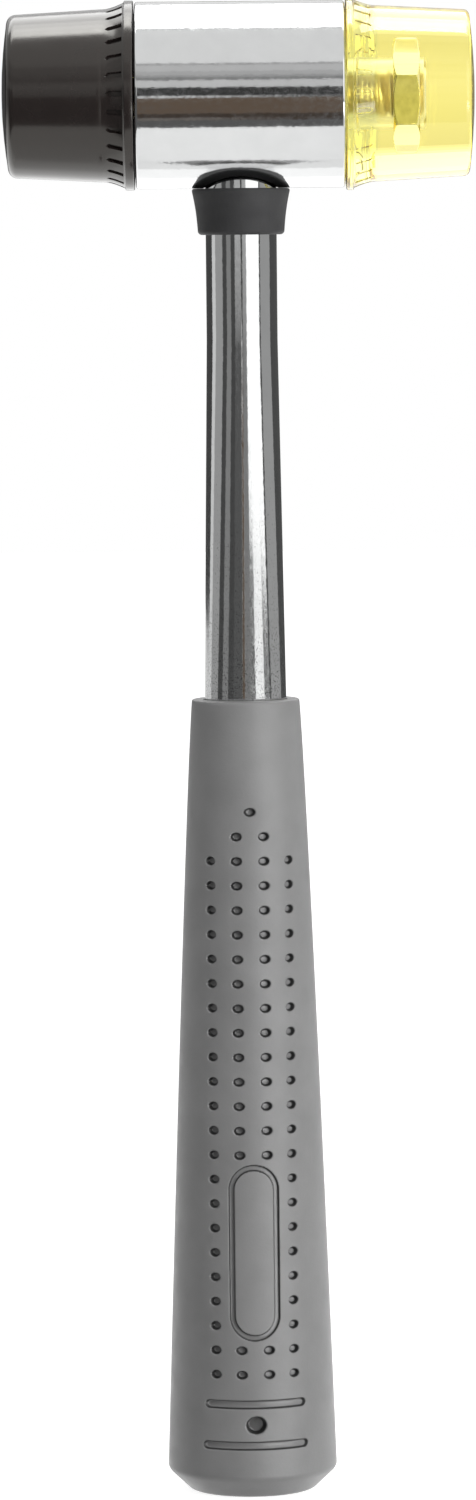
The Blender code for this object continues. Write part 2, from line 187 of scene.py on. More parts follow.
def add_piece(name, shape, material, body, node, sharp_degrees=35):
    obj = new_object(name, *shape[:2], sharp_degrees, *shape[2:])
    obj.data.materials.append(material)
    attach(obj, body)
    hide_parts(node)


def turns(count):
    return 2.0 * np.pi * np.arange(count) / count


def handle_ring(x, y, height):
    """A ring of the handle, turned with it about its axis."""
    cosine, sine = math.cos(HANDLE_TURN), math.sin(HANDLE_TURN)
    return np.stack([x * cosine - y * sine, x * sine + y * cosine, np.full_like(x, height)], axis=1)


def head_ring(side, radius, angle, distance):
    """A ring about the head's axis, at a distance outwards from the end face on one side."""
    radius = np.broadcast_to(radius, angle.shape)
    x = np.full_like(angle, side * (HEAD_HALF + distance))
    return np.stack([x, radius * np.sin(angle), HEAD_AXIS - side * radius * np.cos(angle)], axis=1)


def head_point(side, distance):
    return np.array([side * (HEAD_HALF + distance), 0.0, HEAD_AXIS])


def arc(middle_radius, middle_height, radius, start, end, count):
    """(radius, height) points of an arc, with angles in degrees from the radius axis."""
    angles = np.radians(np.linspace(start, end, count + 1))
    return [(middle_radius + radius * math.cos(a), middle_height + radius * math.sin(a)) for a in angles]


# Head
def head_shape():
    """The head's skin. A window in its underside is filled by rows that run in to the round eye."""
    flat_end = HEAD_HALF - HEAD_EDGE
    edge_hold = 0.08 * MM
    window_x = 20.0 * MM
    window_psi = math.radians(64)
    psi = np.radians(np.arange(-180, 180, 2))
    xs = np.concatenate(
        [
            [-flat_end, -flat_end + edge_hold],
            np.linspace(-window_x, window_x, 41),
            [flat_end - edge_hold, flat_end],
        ]
    )
    points = []
    faces = []
    for x in xs:
        ring = np.stack(
            [np.full_like(psi, x), HEAD_RADIUS * np.sin(psi), HEAD_AXIS - HEAD_RADIUS * np.cos(psi)],
            axis=1,
        )
        points += ring.tolist()
    count = len(psi)
    small = 1e-9
    for i in range(len(xs) - 1):
        for j in range(count):
            k = (j + 1) % count
            in_x = xs[i] > -window_x - small and xs[i + 1] < window_x + small
            in_psi = j < k and psi[j] > -window_psi - small and psi[k] < window_psi + small
            if not (in_x and in_psi):
                faces.append([i * count + j, i * count + k, (i + 1) * count + k, (i + 1) * count + j])

    def add(shape):
        base = len(points)
        points.extend(shape[0].tolist())
        faces.extend([[base + v for v in face] for face in shape[1]])

    hole_end = -STUD_HOLE_DEPTH
    hole_chamfer = 0.6 * MM
    face_ring = 13.0 * MM
    floor_hold = 1.0 * MM
    for side in (-1, 1):
        turn = psi if side > 0 else np.pi - psi
        profile = arc(HEAD_RADIUS - HEAD_EDGE, -HEAD_EDGE, HEAD_EDGE, 0, 90, 6)
        profile += [(face_ring, 0.0), (STUD_HOLE_RADIUS + hole_chamfer, 0.0)]
        profile += [(STUD_HOLE_RADIUS, -hole_chamfer), (STUD_HOLE_RADIUS, hole_end + floor_hold)]
        profile += [(STUD_HOLE_RADIUS, hole_end)]
        rows = [head_ring(side, radius, turn, distance) for radius, distance in profile]
        add(skin(rows, end=head_point(side, hole_end)))

    inside_x = xs[np.abs(xs) < window_x + small]
    inside_psi = psi[np.abs(psi) < window_psi + small]
    loop = [(x, inside_psi[0]) for x in inside_x[:-1]]
    loop += [(inside_x[-1], p) for p in inside_psi[:-1]]
    loop += [(x, inside_psi[-1]) for x in inside_x[:0:-1]]
    loop += [(inside_x[0], p) for p in inside_psi[:0:-1]]
    edge_x = np.array([x for x, _ in loop])
    edge_y = HEAD_RADIUS * np.sin([p for _, p in loop])
    reach = np.hypot(edge_x, edge_y)
    cosine = edge_x / reach
    sine = edge_y / reach
    rim = EYE_RADIUS

    def underside(radius):
        y = radius * sine
        height = HEAD_AXIS - np.sqrt(HEAD_RADIUS**2 - y**2)
        into = np.clip(1.0 - (radius - rim) / EYE_ROUND, 0.0, 1.0)
        height += EYE_ROUND * (1.0 - np.sqrt(1.0 - into**2))
        return np.stack([radius * cosine, y, height], axis=1)

    radii = [rim + EYE_ROUND * (1.0 - math.cos(math.radians(a))) for a in range(0, 91, 15)]
    radii = [np.full_like(reach, radius) for radius in radii]
    outside = rim + EYE_ROUND
    radii += [outside + (reach - outside) * t for t in np.linspace(0, 1, 13)[1:]]
    rows = [underside(radius) for radius in reversed(radii)]
    rim_height = rows[-1][:, 2]
    for share in (0.05, 0.3, 0.65, 1.0):
        height = rim_height + (EYE_TOP - rim_height) * share
        rows.append(np.stack([rim * cosine, rim * sine, height], axis=1))
    add(skin(rows, end=np.array([0.0, 0.0, EYE_TOP])))
    return points, faces


# Tips
def hex_radius(angle, flat):
    """Distance from the axis to a hexagon whose flats are that far out, at each angle."""
    within = np.mod(angle - NUT_TURN + np.pi / 6, np.pi / 3) - np.pi / 6
    return flat / np.cos(within)


def nut_rows(side, angle, grow):
    """Rings over the outside of the nut, chamfered at both ends, from its inner end outwards."""
    flat = NUT_FLAT + grow
    low = NUT_DISTANCE - grow
    high = NUT_DISTANCE + NUT_THICKNESS + grow
    deepest = (flat / math.cos(math.pi / 6) - flat) * NUT_CHAMFER
    steps = np.linspace(0.0, 1.0, 7)
    rows = []
    hexagon = hex_radius(angle, flat)
    for step in steps:
        cone = flat + step * deepest / NUT_CHAMFER
        rows.append(head_ring(side, np.minimum(hexagon, cone), angle, low + step * deepest))
    for step in steps[::-1]:
        cone = flat + step * deepest / NUT_CHAMFER
        rows.append(head_ring(side, np.minimum(hexagon, cone), angle, high - step * deepest))
    return rows


def flute_angles(half_width, radius):
    """Angles round the tip, twelve to a flute, drawn up to the walls of flutes of that half width."""
    pitch = math.pi / FLUTE_COUNT
    outer = half_width / radius
    inner = max(half_width - FLUTE_WALL, half_width * 0.4) / radius
    land = pitch - outer
    offsets = [-pitch, -outer - 0.5 * land, -outer - 0.12 * land, -outer, -inner, -0.5 * inner, 0.0]
    offsets += [0.5 * inner, inner, outer, outer + 0.12 * land, outer + 0.5 * land]
    middles = 2.0 * np.pi * (np.arange(FLUTE_COUNT) + 0.5) / FLUTE_COUNT
    return (middles[:, None] + np.array(offsets)[None, :]).ravel()


def tip_shape(side, length, flange_proud, flange_width, flute_depth, edge_radius, crown):
    """A tip from its face in to the head, then along its bore to the nut's pocket and the bore's end."""
    flange = HEAD_RADIUS + flange_proud
    band = flange - BAND_STEP
    body = band - FLARE_DROP
    face = body - TIP_TAPER
    full = FLUTE_WIDTH / 2
    plain = flute_angles(full, band)
    floor_places = np.tile([0, 0, 0, 0, 1, 1, 1, 1, 1, 0, 0, 0], FLUTE_COUNT)

    def flare(distance):
        share = min(1.0, (distance - flange_width) / (FLARE_END - flange_width))
        return band - FLARE_DROP * math.sin(share * math.pi / 2)

    rows = []
    crown_rim = face - edge_radius
    for share in (0.15, 0.4, 0.65, 0.85):
        radius = crown_rim * share
        rows.append(head_ring(side, radius, plain, length + crown * (1.0 - share**2)))
    for radius, distance in arc(crown_rim, length - edge_radius, edge_radius, 90, 0, 8):
        rows.append(head_ring(side, radius, plain, distance))
    body_run = length - edge_radius - FLARE_END
    for share in (0.75, 0.5, 0.25, 0.06):
        distance = FLARE_END + body_run * share
        rows.append(head_ring(side, body - TIP_TAPER * share, plain, distance))
    ring_line_width = 0.1 * MM
    rows.append(head_ring(side, body, plain, FLARE_END + ring_line_width))
    rows.append(head_ring(side, body - RING_LINE, plain, FLARE_END))
    start = flange_width + FLUTE_SETBACK
    end = start + FLUTE_LENGTH
    round_start = end - 0.55 * FLUTE_WIDTH
    for share in (0.75, 0.5, 0.25):
        distance = end + (FLARE_END - end) * share
        rows.append(head_ring(side, flare(distance), plain, distance))
    flutes = [(end + FLUTE_WALL, 0.45, 0.0)]
    for turn in np.radians([72, 58, 44, 30, 16, 0]):
        flutes.append((round_start + (end - round_start) * math.sin(turn), math.cos(turn), 1.0))
    for share in (0.75, 0.5, 0.25):
        flutes.append((start + (round_start - start) * share, 1.0, 1.0))
    end_wall = 0.08 * MM
    flutes += [(start + end_wall, 1.0, 1.0), (start, 1.0, 0.0)]
    for distance, width, depth in flutes:
        angle = flute_angles(full * width, band)
        radius = flare(distance) - flute_depth * depth * floor_places
        rows.append(head_ring(side, radius, angle, distance))
    foot = 0.12 * MM
    rim = 0.25 * MM
    profile = [(band, flange_width + foot), (band + foot, flange_width)]
    profile += arc(flange - rim, flange_width - rim, rim, 90, 0, 3)
    profile += arc(flange - rim, CLEARANCE + rim, rim, 0, -90, 3)
    lead_in = 0.4 * MM
    profile += [(STUD_HOLE_RADIUS + lead_in, CLEARANCE)]
    rows += [head_ring(side, radius, plain, distance) for radius, distance in profile]
    even = turns(AROUND)
    rows.append(head_ring(side, STUD_HOLE_RADIUS, even, CLEARANCE + lead_in))
    rows.append(head_ring(side, STUD_HOLE_RADIUS, even, NUT_DISTANCE - POCKET_GAP))
    rows += nut_rows(side, even, POCKET_GAP)
    rows.append(head_ring(side, STUD_HOLE_RADIUS, even, NUT_DISTANCE + NUT_THICKNESS + POCKET_GAP))
    end_chamfer = 0.5 * MM
    rows.append(head_ring(side, STUD_HOLE_RADIUS, even, BORE_END - end_chamfer))
    rows.append(head_ring(side, STUD_HOLE_RADIUS - end_chamfer, even, BORE_END))
    return skin(rows, start=head_point(side, length + crown), end=head_point(side, BORE_END))


def nut_shape(side):
    angle = turns(AROUND // 2)
    bore = STUD_RADIUS + 0.5 * CLEARANCE
    chamfer = 0.5 * MM
    low = NUT_DISTANCE
    high = NUT_DISTANCE + NUT_THICKNESS
    rows = [head_ring(side, bore + chamfer, angle, low)] + nut_rows(side, angle, 0.0)
    rows.append(head_ring(side, bore + chamfer, angle, high))
    rows.append(head_ring(side, bore, angle, high - chamfer))
    rows.append(head_ring(side, bore, angle, low + chamfer))
    return skin(rows, looped=True)


def stud_shape(side):
    """A threaded stud. The thread's flanks are steep enough to leave a flat crest and a flat root."""
    angle = turns(48)
    steps_per_turn = 12
    steepness = 1.35
    root = 0.1
    count = int((STUD_TIP - STUD_INNER) / THREAD_PITCH * steps_per_turn)
    rows = []
    for distance in np.linspace(STUD_INNER, STUD_TIP, count):
        phase = np.mod(distance / THREAD_PITCH - angle / (2.0 * np.pi), 1.0)
        slope = np.clip(steepness * (1.0 - np.abs(2.0 * phase - 1.0)) - root, 0.0, 1.0)
        radius = STUD_RADIUS - THREAD_DEPTH * (1.0 - slope)
        end_gap = min(distance - STUD_INNER, STUD_TIP - distance)
        limit = STUD_RADIUS - STUD_CHAMFER + end_gap
        rows.append(head_ring(side, np.minimum(radius, limit), angle, distance))
    return skin(rows, start=head_point(side, STUD_INNER), end=head_point(side, STUD_TIP))


# Handle
def tube_half_width(height):
    run = TUBE_OVAL_START - GRIP_LENGTH
    share = min(1.0, max(0.0, (TUBE_OVAL_START - height) / run))
    return TUBE_RADIUS + TUBE_WIDENING * share


def tube_ring(height, grow=0.0, count=128):
    half_width = tube_half_width(height)
    half_depth = math.sqrt(2.0 * TUBE_RADIUS**2 - half_width**2)
    angle = turns(count)
    return handle_ring((half_width + grow) * np.cos(angle), (half_depth + grow) * np.sin(angle), height)


def tube_shape():
    edge = 0.3 * MM
    heights = np.concatenate(
        [
            np.linspace(TUBE_FOOT + edge, GRIP_LENGTH, 8)[:-1],
            np.linspace(GRIP_LENGTH, TUBE_OVAL_START, 40)[:-1],
            np.linspace(TUBE_OVAL_START, TUBE_TOP - edge, 12),
        ]
    )
    rows = [tube_ring(TUBE_FOOT, -edge)]
    rows += [tube_ring(h) for h in heights]
    rows.append(tube_ring(TUBE_TOP, -edge))
    inner = [TUBE_TOP, TUBE_OVAL_START, GRIP_LENGTH, TUBE_FOOT]
    rows += [tube_ring(h, -TUBE_WALL) for h in inner]
    return skin(rows, looped=True)


def collar_shape():
    bore = EYE_RADIUS
    top_round = 0.5 * MM
    waist = 0.18 * MM
    outer_top = bore + COLLAR_WALL_TOP
    outer_bottom = bore + COLLAR_WALL_BOTTOM
    profile = [(bore, COLLAR_TOP)]
    profile += arc(outer_top - top_round, COLLAR_TOP - top_round, top_round, 90, 0, 5)
    side_top = COLLAR_TOP - top_round
    side_bottom = COLLAR_BOTTOM + COLLAR_EDGE
    for share in np.linspace(0, 1, 9)[1:-1]:
        hollow = waist * math.sin(math.pi * share)
        radius = outer_top + (outer_bottom - outer_top) * share - hollow
        profile.append((radius, side_top + (side_bottom - side_top) * share))
    profile += arc(outer_bottom - COLLAR_EDGE, side_bottom, COLLAR_EDGE, 0, -90, 6)
    profile.append((bore, COLLAR_BOTTOM))
    angle = turns(128)
    rows = [handle_ring(r * np.cos(angle), r * np.sin(angle), h) for r, h in profile]
    return skin(rows, looped=True)


# Grip
def grip_half_width(height):
    share = np.clip((GRIP_LENGTH - height) / (GRIP_LENGTH - BUTT_CHAMFER_HEIGHT), 0.0, 1.0)
    return GRIP_TOP_HALF + (GRIP_BUTT_HALF - GRIP_TOP_HALF) * share**GRIP_TAPER_POWER


def dimple_columns(row, front):
    """Places of the dimples across one row. The panel leaves room for the outer ones only."""
    if row == 0:
        return [0.0]
    if row == 1:
        return [-DIMPLE_INNER, DIMPLE_INNER]
    height = DIMPLE_TOP - row * DIMPLE_PITCH
    panel_reach = PANEL_HALF_LENGTH + GROOVE_HALF_WIDTH + DIMPLE_HALF_HEIGHT
    if front and abs(height - PANEL_MIDDLE) < panel_reach:
        return [-DIMPLE_OUTER, DIMPLE_OUTER]
    return [-DIMPLE_OUTER, -DIMPLE_INNER, DIMPLE_INNER, DIMPLE_OUTER]


def recess_share(out, floor, hollow):
    """1 in the middle of a recess and 0 past its edge, where out is 1. The floor is flat or hollow."""
    return (1.0 - smooth_step(floor, RECESS_EDGE, out)) * (1.0 - hollow * np.minimum(out, 1.0) ** 2)


def recess_depth(x, height, half_width, front):
    """How far the moulded pattern goes in, at points x across the front or back of one ring.

    The second result is the share of the recess's own depth, times a factor that sets how much painted
    shade its floor gets.
    """
    depth = np.zeros_like(x)
    share = np.zeros_like(x)

    # The last factor sets how much painted shade a recess gets in the grip's colour.
    def add(full_depth, out, floor=0.62, hollow=0.18, painted_shade=1.0):
        nonlocal depth, share
        here = recess_share(out, floor, hollow)
        depth = np.maximum(depth, full_depth * here)
        share = np.maximum(share, painted_shade * here)

    row = round((DIMPLE_TOP - height) / DIMPLE_PITCH)
    if 0 <= row < DIMPLE_ROWS:
        up = (height - (DIMPLE_TOP - row * DIMPLE_PITCH)) / DIMPLE_HALF_HEIGHT
        for column in dimple_columns(row, front):
            facing = math.sqrt(1.0 - (column / half_width) ** 2)
            across = (x - column) / (DIMPLE_HALF_WIDTH * facing)
            add(DIMPLE_DEPTH, np.hypot(across, up))
    around = x * (1.0 + (x / half_width) ** 2 / 6.0)
    if front:
        straight = PANEL_HALF_LENGTH - PANEL_HALF_WIDTH
        up = max(abs(height - PANEL_MIDDLE) - straight, 0.0)
        away = np.abs(np.hypot(around, up) - PANEL_HALF_WIDTH)
        add(GROOVE_DEPTH, away / GROOVE_HALF_WIDTH)
    for bar_height, half_length in zip(BAR_HEIGHTS, BAR_HALF_LENGTHS):
        past = np.clip(np.abs(x) - (half_length - BAR_HALF_WIDTH), 0.0, None)
        add(BAR_DEPTH, np.hypot(past, height - bar_height) / BAR_HALF_WIDTH, painted_shade=1.12)
    out = np.hypot(around / DISC_HALF_WIDTH, (height - DISC_HEIGHT) / DISC_HALF_HEIGHT)
    # The disc's floor gets part of the painted shade, so it is darker than a dimple's floor.
    add(DISC_DEPTH, out, floor=0.80, hollow=0.0, painted_shade=0.88)
    return depth, share


def spaced(spans):
    """Sorted places from (start, end, spacing) spans, with near repeats left out."""
    places = np.concatenate([np.arange(start, end + 0.5 * step, step) for start, end, step in spans])
    places = np.sort(places)
    kept = [places[0]]
    for place in places[1:]:
        if place - kept[-1] > 0.1 * MM:
            kept.append(place)
    return np.array(kept)


def grip_columns():
    """Places across the front, closer together where the pattern is."""
    spans = [
        (0.25 * MM, 1.45 * MM, COARSE_STEP),
        (1.55 * MM, 5.7 * MM, FINE_STEP),
        (6.0 * MM, 6.9 * MM, COARSE_STEP),
        (7.1 * MM, 9.9 * MM, FINE_STEP),
        (10.05 * MM, 11.7 * MM, MEDIUM_STEP),
    ]
    right = spaced(spans)
    return np.concatenate([-right[::-1], [0.0], right])


def grip_heights():
    """Heights of the patterned rings, closer together where the pattern is."""
    plain_step = 1.2 * MM
    spans = [(BUTT_CHAMFER_HEIGHT + BUTT_ROUND, GRIP_LENGTH - GRIP_TOP_EDGE, plain_step)]

    def refine(middle, reach, step):
        spans.append((middle - reach, middle + reach, step))

    for row in range(DIMPLE_ROWS):
        refine(DIMPLE_TOP - row * DIMPLE_PITCH, 1.36 * MM, FINE_STEP)
    straight = PANEL_HALF_LENGTH - PANEL_HALF_WIDTH
    for side in (-1, 1):
        refine(PANEL_MIDDLE + side * (straight + 0.55 * PANEL_HALF_WIDTH), 3.2 * MM, MEDIUM_STEP)
    for middle in BAR_HEIGHTS:
        refine(middle, 1.3 * MM, FINE_STEP)
    refine(DISC_HEIGHT, 2.3 * MM, MEDIUM_STEP)
    return spaced(spans)


def grip_shape():
    """The grip from its butt up to its top edge, then down the cavity that holds the tube."""
    columns = grip_columns()
    side_margin = 1.5 * MM
    widest = columns[-1] + side_margin
    side_count = 22
    shares = []

    def ring(half_width, half_depth, height, patterned):
        across = columns * min(1.0, half_width / widest)
        front_angle = np.arcsin(across / half_width)
        sides = np.linspace(front_angle[-1], math.pi - front_angle[-1], side_count)[1:-1]
        angle = np.concatenate([front_angle, sides, math.pi - front_angle[::-1], math.pi + sides])
        x = half_width * np.sin(angle)
        y = -half_depth * np.cos(angle)
        depth = np.zeros_like(x)
        share = np.zeros_like(x)
        if patterned:
            for face, front in ((y < 0.0, True), (y >= 0.0, False)):
                depth[face], share[face] = recess_depth(x[face], height, half_width, front)
            plain = np.abs(x) > PATTERN_REACH
            depth[plain] = 0.0
            share[plain] = 0.0
        shares.append(share)
        outward = np.stack([x / half_width**2, y / half_depth**2], axis=1)
        outward /= np.linalg.norm(outward, axis=1)[:, None]
        return handle_ring(x - outward[:, 0] * depth, y - outward[:, 1] * depth, height)

    def plain_ring(half_width, height):
        side = grip_half_width(height)
        return ring(half_width, side * GRIP_DEPTH_RATIO - (side - half_width), height, False)

    flat = GRIP_BUTT_HALF - BUTT_CHAMFER_WIDTH
    slope = BUTT_CHAMFER_HEIGHT / BUTT_CHAMFER_WIDTH
    rows = [plain_ring(flat * 0.5, 0.0)]
    for t in np.linspace(0.0, 1.0, 5):
        rows.append(plain_ring(flat + BUTT_ROUND * (2.0 * t - 1.0), BUTT_ROUND * slope * t * t))
    chamfer_top = BUTT_CHAMFER_HEIGHT - BUTT_ROUND * slope
    for t in (0.33, 0.67):
        reach = flat + BUTT_ROUND + (BUTT_CHAMFER_WIDTH - 2.0 * BUTT_ROUND) * t
        rows.append(plain_ring(reach, BUTT_ROUND * slope + (chamfer_top - BUTT_ROUND * slope) * t))
    side_start = BUTT_CHAMFER_HEIGHT + BUTT_ROUND
    for t in np.linspace(0.0, 1.0, 6)[:-1]:
        low = GRIP_BUTT_HALF - BUTT_ROUND * (1.0 - t) ** 2
        rows.append(plain_ring(low, chamfer_top + (side_start - chamfer_top) * t))
    for height in grip_heights():
        half_width = float(grip_half_width(height))
        rows.append(ring(half_width, half_width * GRIP_DEPTH_RATIO, height, True))
    for degrees in (25, 50, 75, 90):
        bend = math.radians(degrees)
        inset = GRIP_TOP_EDGE * (1.0 - math.cos(bend))
        height = GRIP_LENGTH - GRIP_TOP_EDGE * (1.0 - math.sin(bend))
        rows.append(plain_ring(float(grip_half_width(height)) - inset, height))
    total = len(rows[0])

    def cavity_ring(height):
        half_width = tube_half_width(height) + CLEARANCE
        half_depth = math.sqrt(2.0 * TUBE_RADIUS**2 - tube_half_width(height) ** 2) + CLEARANCE
        middle = len(columns) // 2
        angle = 2.0 * np.pi * (np.arange(total) - middle) / total
        return handle_ring(half_width * np.sin(angle), -half_depth * np.cos(angle), height)

    cavity_end = TUBE_FOOT - CLEARANCE
    for height in (GRIP_LENGTH, GRIP_LENGTH - 20.0 * MM, cavity_end):
        rows.append(cavity_ring(height))
    points, faces = skin(rows, start=np.array([0.0, 0.0, 0.0]), end=np.array([0.0, 0.0, cavity_end]))
    # Each point's recess share sets the smoother roughness of the recesses and the painted shade on their
    # walls.
    recess = np.zeros(len(points))
    outside = np.concatenate(shares)
    recess[:len(outside)] = outside
    return points, faces, recess


# Materials
NO_TINT = (1.0, 1.0, 1.0, 1.0)


def new_material(name, **sockets):
    material = bpy.data.materials.new(name)
    material.use_nodes = True
    shader = material.node_tree.nodes["Principled BSDF"]
    for socket, value in sockets.items():
        shader.inputs[socket.replace("_", " ")].default_value = value
    return material, material.node_tree, shader


def add_noise(tree, scale, detail=3.0, stretch=(1.0, 1.0, 1.0)):
    """Noise in the part's own space, drawn out along an axis by a stretch below 1."""
    place = tree.nodes.new("ShaderNodeTexCoord")
    mapping = tree.nodes.new("ShaderNodeMapping")
    mapping.inputs["Scale"].default_value = stretch
    noise = tree.nodes.new("ShaderNodeTexNoise")
    noise.inputs["Scale"].default_value = scale
    noise.inputs["Detail"].default_value = detail
    tree.links.new(place.outputs["Object"], mapping.inputs["Vector"])
    tree.links.new(mapping.outputs["Vector"], noise.inputs["Vector"])
    return noise.outputs["Fac"]


def add_range(tree, source, low, high, from_low=0.3, from_high=0.7):
    node = tree.nodes.new("ShaderNodeMapRange")
    node.inputs["From Min"].default_value = from_low
    node.inputs["From Max"].default_value = from_high
    node.inputs["To Min"].default_value = low
    node.inputs["To Max"].default_value = high
    tree.links.new(source, node.inputs["Value"])
    return node.outputs["Result"]


def add_colours(tree, source, first, second, from_low=0.3, from_high=0.7):
    node = tree.nodes.new("ShaderNodeValToRGB")
    node.color_ramp.elements[0].position = from_low
    node.color_ramp.elements[1].position = from_high
    node.color_ramp.elements[0].color = (*first, 1.0)
    node.color_ramp.elements[1].color = (*second, 1.0)
    tree.links.new(source, node.inputs["Fac"])
    return node.outputs["Color"]


def add_bump(tree, shader, source, distance, strength=1.0, below=None):
    node = tree.nodes.new("ShaderNodeBump")
    node.inputs["Strength"].default_value = strength
    node.inputs["Distance"].default_value = distance
    tree.links.new(source, node.inputs["Height"])
    if below is not None:
        tree.links.new(below, node.inputs["Normal"])
    tree.links.new(node.outputs["Normal"], shader.inputs["Normal"])
    return node.outputs["Normal"]


def add_place(tree):
    """The X, Y and Z outputs of the place on the part, in its own space."""
    place = tree.nodes.new("ShaderNodeTexCoord")
    apart = tree.nodes.new("ShaderNodeSeparateXYZ")
    tree.links.new(place.outputs["Object"], apart.inputs["Vector"])
    return apart.outputs


def add_core_mask(tree, radius, reach):
    """1 inside a cylinder on the head's axis, as far as x reaches, and 0 outside it."""
    axes = add_place(tree)
    flat = tree.nodes.new("ShaderNodeCombineXYZ")
    tree.links.new(axes["Y"], flat.inputs["Y"])
    tree.links.new(axes["Z"], flat.inputs["Z"])
    away = tree.nodes.new("ShaderNodeVectorMath")
    away.operation = "DISTANCE"
    away.inputs[1].default_value = (0.0, 0.0, HEAD_AXIS)
    tree.links.new(flat.outputs["Vector"], away.inputs[0])
    near = tree.nodes.new("ShaderNodeMath")
    near.operation = "LESS_THAN"
    near.inputs[1].default_value = radius
    tree.links.new(away.outputs["Value"], near.inputs[0])
    short = tree.nodes.new("ShaderNodeMath")
    short.operation = "LESS_THAN"
    short.inputs[1].default_value = reach + 0.1 * MM
    tree.links.new(axes["X"], short.inputs[0])
    both = tree.nodes.new("ShaderNodeMath")
    both.operation = "MULTIPLY"
    tree.links.new(near.outputs["Value"], both.inputs[0])
    tree.links.new(short.outputs["Value"], both.inputs[1])
    return both.outputs["Value"]


def add_pits(tree, clear_height, worst_height):
    """Specks that grow in number down the handle, from none at one height to most at the other."""
    least = add_range(tree, add_place(tree)["Z"], 0.55, 0.74, worst_height, clear_height)
    above = tree.nodes.new("ShaderNodeMath")
    above.operation = "SUBTRACT"
    tree.links.new(add_noise(tree, 4200.0, 2.0, (1.0, 1.0, 0.7)), above.inputs[0])
    tree.links.new(least, above.inputs[1])
    return add_range(tree, above.outputs["Value"], 0.0, 1.0, 0.0, 0.08)


def chrome_material(name, grain_scale, grain_stretch, grain_depth, pitted=False):
    """Plated steel with fine grain and slow waves, and with darker specks by the grip if pitted."""
    material, tree, shader = new_material(name, Metallic=1.0)
    cloud = add_noise(tree, 160.0, 4.0)
    colour = add_colours(tree, cloud, (0.535, 0.54, 0.54), (0.565, 0.57, 0.57))
    if pitted:
        specked = tree.nodes.new("ShaderNodeMix")
        specked.data_type = "RGBA"
        specked.inputs["B"].default_value = (0.28, 0.28, 0.28, 1.0)
        pits = add_pits(tree, GRIP_LENGTH + 70.0 * MM, GRIP_LENGTH)
        tree.links.new(pits, specked.inputs["Factor"])
        tree.links.new(colour, specked.inputs["A"])
        colour = specked.outputs["Result"]
    tree.links.new(colour, shader.inputs["Base Color"])
    grain = add_noise(tree, grain_scale, 2.0, grain_stretch)
    tree.links.new(add_range(tree, grain, 0.05, 0.11), shader.inputs["Roughness"])
    low = add_bump(tree, shader, add_noise(tree, 90.0, 2.0), 0.000012)
    add_bump(tree, shader, grain, grain_depth, below=low)
    return material


def zinc_material(name, dark, light):
    material, tree, shader = new_material(name, Metallic=1.0)
    cloud = add_noise(tree, 700.0, 4.0)
    colour = add_colours(tree, cloud, dark, light)
    tree.links.new(colour, shader.inputs["Base Color"])
    tree.links.new(add_range(tree, cloud, 0.34, 0.52), shader.inputs["Roughness"])
    add_bump(tree, shader, add_noise(tree, 3200.0, 3.0), 0.000012)
    return material


def rubber_material(name, dark, light, roughness, grain_scale, grain_depth, specular=0.5, tint=NO_TINT):
    material, tree, shader = new_material(name, Specular_IOR_Level=specular, Specular_Tint=tint)
    cloud = add_noise(tree, 110.0, 4.0)
    tree.links.new(add_colours(tree, cloud, dark, light), shader.inputs["Base Color"])
    smear = add_noise(tree, 240.0, 3.0)
    tree.links.new(add_range(tree, smear, *roughness), shader.inputs["Roughness"])
    add_bump(tree, shader, add_noise(tree, grain_scale, 3.0), grain_depth)
    return material


def grip_material():
    """Satin outside and smoother in the moulded pattern, with painted shade on the walls of its recesses.
    """
    material, tree, shader = new_material("grey_rubber", Specular_IOR_Level=0.5)
    recess = tree.nodes.new("ShaderNodeAttribute")
    recess.attribute_name = "recess"
    cloud = add_noise(tree, 110.0, 4.0)
    outside = add_colours(tree, cloud, (0.185, 0.185, 0.185), (0.212, 0.212, 0.212))
    # Painted shade: the recess share darkens the colour towards near black, most on the recess walls and
    # least in the middle of their floors.
    walls = tree.nodes.new("ShaderNodeValToRGB")
    walls.color_ramp.elements[0].position = 0.04
    walls.color_ramp.elements[0].color = (0.0, 0.0, 0.0, 1.0)
    walls.color_ramp.elements[1].position = 0.24
    for position, level in ((0.74, 1.0), (0.93, 0.35), (1.0, 0.1)):
        walls.color_ramp.elements.new(position).color = (level, level, level, 1.0)
    tree.links.new(recess.outputs["Fac"], walls.inputs["Fac"])
    painted_shade_mix = tree.nodes.new("ShaderNodeMix")
    painted_shade_mix.data_type = "RGBA"
    painted_shade_mix.inputs["B"].default_value = (0.020, 0.020, 0.020, 1.0)
    tree.links.new(walls.outputs["Color"], painted_shade_mix.inputs["Factor"])
    tree.links.new(outside, painted_shade_mix.inputs["A"])
    tree.links.new(painted_shade_mix.outputs["Result"], shader.inputs["Base Color"])
    satin = add_range(tree, add_noise(tree, 240.0, 3.0), 0.40, 0.50)
    roughness = tree.nodes.new("ShaderNodeMapRange")
    roughness.inputs["From Min"].default_value = 0.2
    roughness.inputs["From Max"].default_value = 0.9
    roughness.inputs["To Max"].default_value = 0.24
    tree.links.new(recess.outputs["Fac"], roughness.inputs["Value"])
    tree.links.new(satin, roughness.inputs["To Min"])
    tree.links.new(roughness.outputs["Result"], shader.inputs["Roughness"])
    add_bump(tree, shader, add_noise(tree, 1700.0, 3.0), 0.000025)
    return material


